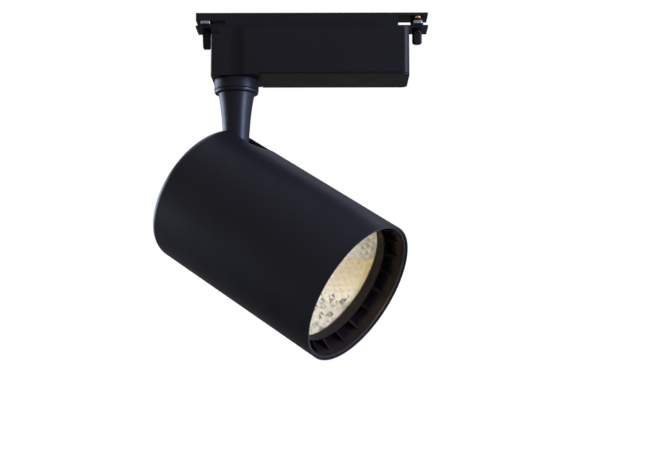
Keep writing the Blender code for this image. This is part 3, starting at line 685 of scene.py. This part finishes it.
def make_shell():
    inner = HEAD_RADIUS - HEAD_WALL
    rear = HEAD_LENGTH - REAR_WALL
    edge_centre = (HEAD_LENGTH - HEAD_EDGE, HEAD_RADIUS - HEAD_EDGE)
    edge = [(r, t) for t, r in arc(edge_centre, HEAD_EDGE, 90, 0, 14)]
    outline = [(0, rear), (inner - 3, rear), (inner - 1, rear - 1), (inner, rear - 3),
               (inner, SLEEVE_DEPTH + GAP), (HEAD_RADIUS - LIP, SLEEVE_DEPTH + GAP),
               (HEAD_RADIUS - LIP, 0.06), (HEAD_RADIUS - LIP + 0.06, 0), (HEAD_RADIUS - 0.12, 0),
               (HEAD_RADIUS - 0.04, 0.04), (HEAD_RADIUS, 0.12)] + edge + [(0, HEAD_LENGTH)]
    width = (-SLOT_HALF_WIDTH, SLOT_HALF_WIDTH)
    outside, past_rear = HEAD_RADIUS + 10, HEAD_LENGTH + 10
    round_end = SLOT_HALF_WIDTH - 0.02
    changes = [("DIFFERENCE", block((PIVOT_OFFSET, outside), width, (SLOT_END, past_rear))),
               ("DIFFERENCE", moved(along_x(rod(round_end, PIVOT_OFFSET, outside, steps=64)),
                                    z=SLOT_END)),
               ("DIFFERENCE", rod(round_end, SLOT_END, past_rear, PIVOT_OFFSET, steps=64))]
    piece("shell", lathe(outline, 192), BLACK_PAINT, "head", ["head_shell"], OPTIC,
          changes, edge=0.2)


def make_rib(number):
    half = (THIN_RIB if number % 2 == 0 else THICK_RIB) / 2
    side = [(RING_OUTER - 0.4, RING_FRONT + 0.2), (SLEEVE_INNER + 0.4, RIB_TIP),
            (SLEEVE_INNER + 0.4, LENS_SEAT - 0.4), (RING_OUTER - 0.4, LENS_SEAT - 0.4)]
    rib = along_y(prism([(r, -t) for r, t in side], -half, half))
    return turned_by(rib, 2 * math.pi * number / RIB_COUNT, "Z")


def make_bezel():
    """Sleeve, lens pocket ring and the ribs that join them."""
    sleeve = washer(SLEEVE_INNER, SLEEVE_OUTER, RIM_REAR - 0.2, SLEEVE_DEPTH, 160, 0.08)
    web = LENS_SEAT - 1.2
    ring = [(RING_INNER + 0.35, RING_FRONT), (RING_OUTER - 0.15, RING_FRONT),
            (RING_OUTER, RING_FRONT + 0.15),
            (RING_OUTER, web), (POCKET_OUTER, web), (POCKET_OUTER, POCKET_REAR),
            (POCKET_INNER, POCKET_REAR), (POCKET_INNER, LENS_SEAT), (RING_INNER - 0.1, LENS_SEAT),
            (RING_INNER + 0.1, RING_FRONT + 0.25)]
    ribs = [make_rib(number) for number in range(RIB_COUNT)]
    piece("bezel", sleeve, SHADED_WARM_BEZEL_PLASTIC, "head", ["front_bezel"], OPTIC,
          [("UNION", lathe(ring, 160)), ("UNION", joined(*ribs))], crease=30)


def make_rim():
    """Painted front edge of the bezel's sleeve."""
    rim = washer(RIM_INNER, SLEEVE_OUTER, RIM_FRONT, RIM_REAR, 192, 0.25)
    piece("sleeve_rim", rim, RIM_PAINT, "head", [], OPTIC)


def make_lens():
    rear = LENS_FRONT + LENS_THICKNESS
    side = [(0, LENS_FRONT), (LENS_RADIUS - 0.1, LENS_FRONT), (LENS_RADIUS, LENS_FRONT + 0.1),
            (LENS_RADIUS, rear - 0.1), (LENS_RADIUS - 0.1, rear), (0, rear)]
    piece("front_glass", lathe(side, 128), GLASS, "head", ["lens"], OPTIC)


def bowl_radius(depth):
    """Inner radius of the reflector, a parabola with its small end at the rear."""
    share = (BOWL_REAR - depth) / (BOWL_REAR - BOWL_FRONT)
    return math.sqrt(BOWL_THROAT ** 2 + (BOWL_MOUTH ** 2 - BOWL_THROAT ** 2) * share)


def make_reflector():
    """Bowl of diamond facets, each a low pyramid, with a front flange and a plain outside."""
    bm = bmesh.new()
    full = BOWL_REAR - BOWL_FRONT
    depths = [BOWL_FRONT + full * i / FACET_ROWS for i in range(FACET_ROWS + 1)]

    def ring(radius, depth, shift=0.0):
        angles = [2 * math.pi * (i + shift) / FACETS_AROUND for i in range(FACETS_AROUND)]
        return [bm.verts.new((radius * math.cos(a), radius * math.sin(a), depth)) for a in angles]

    corners = [ring(bowl_radius(t), t, 0.5 * (row % 2)) for row, t in enumerate(depths)]
    for row in range(FACET_ROWS - 1):
        front, middle, rear = corners[row:row + 3]
        depth = depths[row + 1]
        peaks = ring(bowl_radius(depth) - FACET_HEIGHT, depth, 0.5 * (row % 2))
        for i in range(FACETS_AROUND):
            after = (i + 1) % FACETS_AROUND
            left = middle[i - 1] if row % 2 == 0 else middle[i]
            right = middle[i] if row % 2 == 0 else middle[after]
            around = [front[i], right, rear[i], left]
            for a, b in zip(around, around[1:] + around[:1]):
                bm.faces.new((a, b, peaks[i]))
    for outer_row, inner_row in ((0, 1), (FACET_ROWS, FACET_ROWS - 1)):
        outer, inner = corners[outer_row], corners[inner_row]
        for i in range(FACETS_AROUND):
            after = (i + 1) % FACETS_AROUND
            tip = inner[i] if outer_row % 2 == 0 else inner[after]
            bm.faces.new((outer[i], outer[after], tip))
    outline = [(FLANGE_RADIUS - 0.1, BOWL_FRONT), (FLANGE_RADIUS, BOWL_FRONT + 0.1),
               (FLANGE_RADIUS, FLANGE_REAR), (bowl_radius(FLANGE_REAR) + BOWL_WALL, FLANGE_REAR)]
    outline += [(bowl_radius(t) + BOWL_WALL, t) for t in depths[1:]]
    rings = [corners[0]] + [ring(r, t) for r, t in outline] + [corners[-1]]
    for one, two in zip(rings, rings[1:]):
        for i in range(FACETS_AROUND):
            after = (i + 1) % FACETS_AROUND
            bm.faces.new((one[i], one[after], two[after], two[i]))
    piece("facet_reflector", bm, MIRROR, "head", ["reflector"], OPTIC, crease=None)


def make_light_source():
    """Ceramic holder with a round window, and the glowing disc with its dam ring."""
    holder = washer(HOLDER_WINDOW, HOLDER_RADIUS, HOLDER_FRONT, HOLDER_REAR, 96, 0.4)
    cuts = [("DIFFERENCE", block((-10, 10), (-10, 10), (63.5, 67))),
            ("DIFFERENCE", joined(*[rod(1.8, 58, 67, 0, side * 16.5) for side in (-1, 1)]))]
    piece("source_holder", holder, CERAMIC, "head", ["cob_holder"], OPTIC, cuts, edge=0.15)
    dome = [(0, SOURCE_DEPTH), (4.5, 62.95), (6.2, 63.1), (EMITTER_RADIUS, 63.35),
            (EMITTER_RADIUS, 63.6), (0, 63.6)]
    piece("source_disc", lathe(dome, 64), PHOSPHOR, "head", ["cob_emitter"], OPTIC)


# Adapter rail and locks

def make_rail():
    sides = (RAIL_LOW.y, RAIL_HIGH.y)
    wide = (RAIL_LOW.y - 1, RAIL_HIGH.y + 1)
    left, right = RAIL_LOW.x, RAIL_HIGH.x
    top = RAIL_HIGH.z
    changes = [
        ("DIFFERENCE", joined(
            block((left - 1, HOUSING_LOW.x - GAP), wide, (above(-1), above(2.0))),
            block((HOUSING_HIGH.x + GAP, right + 1), wide, (above(-1), above(2.0))),
            block((left - 1, LEFT_LOCK_X + WING_ROOM), wide, (above(3.6), above(7.0))),
            block((RIGHT_LOCK_X - WING_ROOM, right + 1), wide, (above(3.6), above(10.6))))),
        ("DIFFERENCE", joined(
            block((12, 92), (-7, 7), (above(-1), above(9.5))),
            rod(POST_HOLE_RADIUS, above(0), above(11.4), LEFT_LOCK_X),
            rod(POST_HOLE_RADIUS, above(0), above(13), RIGHT_LOCK_X))),
        ("DIFFERENCE", joined(*[block((x, x + 11.5), (-6.5, 6.5), (top - 0.8, top + 1))
                                for x in range(0, 92, 13)])),
    ]
    piece("rail", block((left, right), sides, (RAIL_LOW.z, top)), BLACK_PLASTIC, "adapter",
          ["adapter_insert"], changes=changes, edge=0.3)


def make_left_lock():
    low = -10.8
    side = [(-2.5, low + 0.7), (-1.9, low), (1.9, low), (2.5, low + 0.7), (3.1, 1.7), (-3.1, 1.7)]
    blade = along_y(prism([(x, -z) for x, z in side], -2.0, 2.0))
    here = Matrix.Translation(Vector((LEFT_LOCK_X, 0, TRACK_FACE)) * MM)
    piece("left_thumb", blade, BLACK_PLASTIC, "lock", ["lock_lever"], here,
          [("UNION", rod(2.4, 0.5, 11.1))], edge=0.35)


def make_right_lock():
    low = -7.6
    knob = [(0, low), (2.6, low), (3.4, low + 0.9), (3.4, 1.7), (2.4, 1.7), (2.4, 6.2), (4.5, 6.2),
            (4.5, 10.2), (2.4, 10.2), (2.4, 12), (0, 12)]
    grips = [block((-5, 5), sorted((side * 2.7, side * 6)), (-9, 0.6)) for side in (-1, 1)]
    windows = [block((-2.5, 2.5), sorted((side * 3, side * 6)), (7.7, 9.3)) for side in (-1, 1)]
    here = Matrix.Translation(Vector((RIGHT_LOCK_X, 0, TRACK_FACE)) * MM)
    piece("right_thumb", lathe(knob, 64), BLACK_PLASTIC, "contact", ["contact_lever"],
          here, [("DIFFERENCE", joined(*grips, *windows))], edge=0.3)


def make_wings(name, body, node, x):
    tip = math.degrees(math.acos(WING_HALF_WIDTH / WING_RADIUS))
    ends = arc((0, 0), WING_RADIUS, tip, 180 - tip, 12)
    ends += arc((0, 0), WING_RADIUS, 180 + tip, 360 - tip, 12)
    here = Matrix.Translation(Vector((x, 0, TRACK_FACE)) * MM)
    piece(name, prism(ends, 3.9, 5.9), STEEL, body, [node], here,
          [("DIFFERENCE", rod(POST_HOLE_RADIUS, 0, 12))], edge=0.25)


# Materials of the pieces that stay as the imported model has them

def dress_nodes():
    finishes = {
        STEEL: [name for name in NODES
                if "screw" in name or name.startswith(("swivel_bolt", "swivel_nut"))]
        + ["stop_washer", "wave_washer", "stop_pin", "retaining_ring",
           "tilt_bracket", "tilt_bolt", "tilt_nut"],
        COPPER: ["earth_contact", "line_contact", "neutral_contact", "emi_choke"],
        BOARD: ["driver_pcb"],
        PALE: ["pan_washer", "tilt_washer_1", "tilt_washer_2", "terminal_block"],
        SLEEVED: ["input_capacitor", "output_capacitor"],
        TAPE: ["transformer"],
        LEAD: ["driver_lead", "stem_lead", "head_lead"],
        SILICONE: ["lens_gasket", "thermal_pad"],
        CERAMIC: ["cob_board"],
        ALUMINIUM: ["heat_sink"],
    }
    for material, names in finishes.items():
        for name in names:
            mesh = NODES[name].data
            mesh.materials.clear()
            mesh.materials.append(material)


# Stage

def look(obj, place, target):
    obj.location = place
    obj.rotation_euler = (Vector(target) - Vector(place)).to_track_quat("-Z", "Y").to_euler()


def make_camera():
    camera = bpy.data.cameras.new("camera")
    camera.lens = CAMERA_LENS
    camera.sensor_width = 36.0
    obj = bpy.data.objects.new("camera", camera)
    bpy.context.collection.objects.link(obj)
    look(obj, CAMERA_PLACE, CAMERA_TARGET)
    bpy.context.scene.camera = obj


def make_softbox(name, place, target, size, power, colour, roll=0.0):
    light = bpy.data.lights.new(name, "AREA")
    light.shape = "RECTANGLE"
    light.size, light.size_y = size
    light.energy = power
    light.color = colour
    obj = bpy.data.objects.new(name, light)
    bpy.context.collection.objects.link(obj)
    look(obj, place, target)
    obj.rotation_euler.rotate_axis("Z", math.radians(roll))
    obj.visible_camera = False


def make_world():
    """White to look at. The light it gives is grey in front, darker behind and darker below."""
    world = bpy.data.worlds.new("studio")
    bpy.context.scene.world = world
    world.use_nodes = True
    tree = world.node_tree
    link = tree.links.new

    def part_of(source, low, high, start, end):
        node = tree.nodes.new("ShaderNodeMapRange")
        node.interpolation_type = "SMOOTHSTEP"
        for key, value in (("From Min", start), ("From Max", end), ("To Min", low), ("To Max", high)):
            node.inputs[key].default_value = value
        link(source, node.inputs["Value"])
        return node.outputs["Result"]

    direction = tree.nodes.new("ShaderNodeSeparateXYZ")
    link(tree.nodes.new("ShaderNodeTexCoord").outputs["Generated"], direction.inputs["Vector"])
    to_back = part_of(direction.outputs["Y"], AMBIENT_FRONT, AMBIENT_BACK, -0.45, 0.5)
    from_below = part_of(direction.outputs["Z"], AMBIENT_BELOW, 1.0, -0.6, 0.1)
    strength = tree.nodes.new("ShaderNodeMath")
    strength.operation = "MULTIPLY"
    link(to_back, strength.inputs[0])
    link(from_below, strength.inputs[1])

    seen = tree.nodes["Background"]
    seen.inputs["Color"].default_value = (1, 1, 1, 1)
    seen.inputs["Strength"].default_value = 1.0
    lit = tree.nodes.new("ShaderNodeBackground")
    lit.inputs["Color"].default_value = (0.98, 0.94, 1.0, 1)
    link(strength.outputs["Value"], lit.inputs["Strength"])
    rays = tree.nodes.new("ShaderNodeLightPath")
    mix = tree.nodes.new("ShaderNodeMixShader")
    link(rays.outputs["Is Camera Ray"], mix.inputs["Fac"])
    link(lit.outputs["Background"], mix.inputs[1])
    link(seen.outputs["Background"], mix.inputs[2])
    link(mix.outputs["Shader"], tree.nodes["World Output"].inputs["Surface"])


def make_floor():
    bm = bmesh.new()
    bmesh.ops.create_grid(bm, x_segments=24, y_segments=24, size=6000)
    floor = mesh_object("floor", moved(bm, z=FLOOR_HEIGHT), FIXED)
    make = Nodes("pale_floor")
    make.colour(make.tint(make.spread(make.noise(3, 3), 0, 1), (0.60, 0.60, 0.60), (0.64, 0.64, 0.64)))
    make.rough(make.spread(make.noise(8, 3), 0.7, 0.8))
    make.set(Emission_Color=(1, 1, 1, 1), Emission_Strength=0.97)
    floor.data.materials.append(make.material)
    floor.visible_glossy = False
    floor.visible_diffuse = False
    floor.visible_shadow = False


def make_lights():
    head = (0.02, -0.02, -0.15)
    make_softbox("right_front", (1.33, -0.70, 0.0), head, (0.55, 1.1), 36, (0.52, 0.62, 1.0))
    make_softbox("right_side", (1.45, 0.20, 0.10), head, (0.9, 0.9), 4, (0.56, 0.66, 1.0))
    make_softbox("left_rear", (-1.35, 0.65, 0.10), head, (1.2, 0.9), 26, (0.64, 0.77, 1.0))
    make_softbox("top_left", (-0.4, 0.6, 1.3), head, (1.4, 1.0), 8, (0.66, 0.74, 1.0))
    make_softbox("top_rear", (0.1, 0.95, 1.15), head, (1.6, 0.8), 2.4, (0.66, 0.74, 1.0))
    make_softbox("mouth_glance", (0.492, 0.174, -0.415), (0.162, -0.151, -0.235), (0.3, 0.4), 0.4,
                 (0.6, 0.72, 1.0), 22)


def main():
    bpy.context.scene.view_settings.view_transform = "Standard"
    make_camera()
    make_world()
    make_floor()
    make_lights()
    dress_nodes()
    make_housing()
    make_cover()
    make_collar()
    make_rail()
    make_left_lock()
    make_right_lock()
    make_wings("left_wings", "lock", "lock_cam", LEFT_LOCK_X)
    make_wings("right_wings", "contact", "contact_cam", RIGHT_LOCK_X)
    make_stem()
    make_shell()
    make_bezel()
    make_rim()
    make_lens()
    make_reflector()
    make_light_source()


main()
